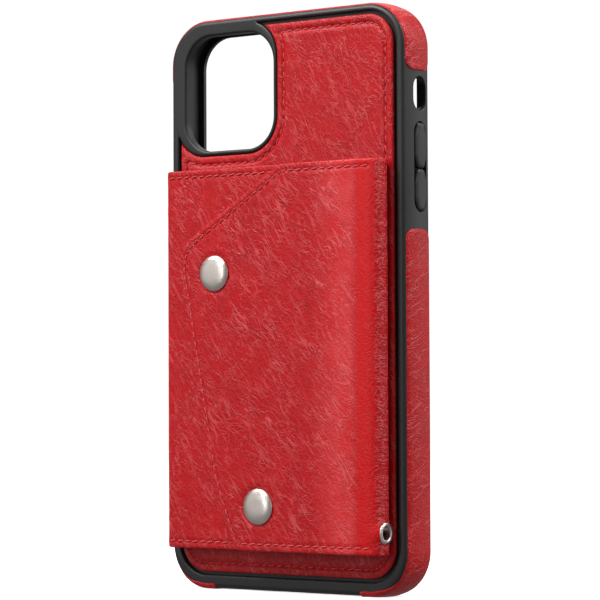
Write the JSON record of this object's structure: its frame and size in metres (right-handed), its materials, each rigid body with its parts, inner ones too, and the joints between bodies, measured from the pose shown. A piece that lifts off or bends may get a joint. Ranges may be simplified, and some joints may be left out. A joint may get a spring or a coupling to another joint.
{
  "type": "phone wallet case",
  "caption": "Phone case: elastomer bumper shell with a sewn leather back, leather shoulder wraps and a snap-closed folding card wallet with a strap eyelet.",
  "frame": {"origin": "the middle of the charging port opening, on the flat foot of the shell's lower edge and half way through the shell's depth", "axes": "+Z along the case from the charging port to the top edge, +X to the right as seen from the wallet, -Y out of the leather back, +Y out of the side where the phone's screen shows"},
  "size_m": [0.083, 0.0217, 0.1631],
  "materials": {
    "leather": "glossy pebbled red leather",
    "lining": "dark red lining",
    "elastomer": "satin black",
    "board": "matt",
    "nickel": "satin nickel"
  },
  "bodies": {
    "case": {"bumper_shell": "elastomer", "panel_board": "board", "back_panel": "leather", "wrap_top": "leather", "wrap_bottom_right": "leather", "wrap_bottom_left": "leather", "wallet_base": "leather", "divider_rear": "lining", "divider_front": "lining", "pocket_front": "leather", "snap_stud_upper": "nickel", "snap_stud_lower": "nickel", "snap_post_upper": "nickel", "snap_post_lower": "nickel"},
    "spine": {"spine_leather": "leather", "eyelet": "nickel", "eyelet_washer": "nickel"},
    "flap": {"flap_leather": "leather", "flap_board": "board", "flap_lining": "lining", "snap_socket_upper": "nickel", "snap_socket_lower": "nickel", "snap_cap_upper": "nickel", "snap_cap_lower": "nickel"},
    "volume_up": {"volume_up_button": "elastomer"},
    "volume_down": {"volume_down_button": "elastomer"},
    "power": {"power_button": "elastomer"}
  },
  "joints": [
    {"name": "spine_fold", "type": "hinge", "parent": "case", "child": "spine", "pos_m": [0.03573, -0.00837, 0.0656], "axis": [0, 0, 1], "range_deg": [0, 85]},
    {"name": "flap_fold", "type": "hinge", "parent": "spine", "child": "flap", "pos_m": [0.03573, -0.01203, 0.0656], "axis": [0, 0, 1], "range_deg": [0, 85]},
    {"name": "volume_up_press", "type": "slide", "parent": "case", "child": "volume_up", "axis": [-1, 0, 0], "range_m": [0, 0.0004], "stiffness_N_per_m": 2000},
    {"name": "volume_down_press", "type": "slide", "parent": "case", "child": "volume_down", "axis": [-1, 0, 0], "range_m": [0, 0.0004], "stiffness_N_per_m": 2000},
    {"name": "power_press", "type": "slide", "parent": "case", "child": "power", "axis": [1, 0, 0], "range_m": [0, 0.0004], "stiffness_N_per_m": 2000}
  ],
  "couplings": [
    {"joint": "flap_fold", "follows": "spine_fold", "ratio": 1}
  ]
}
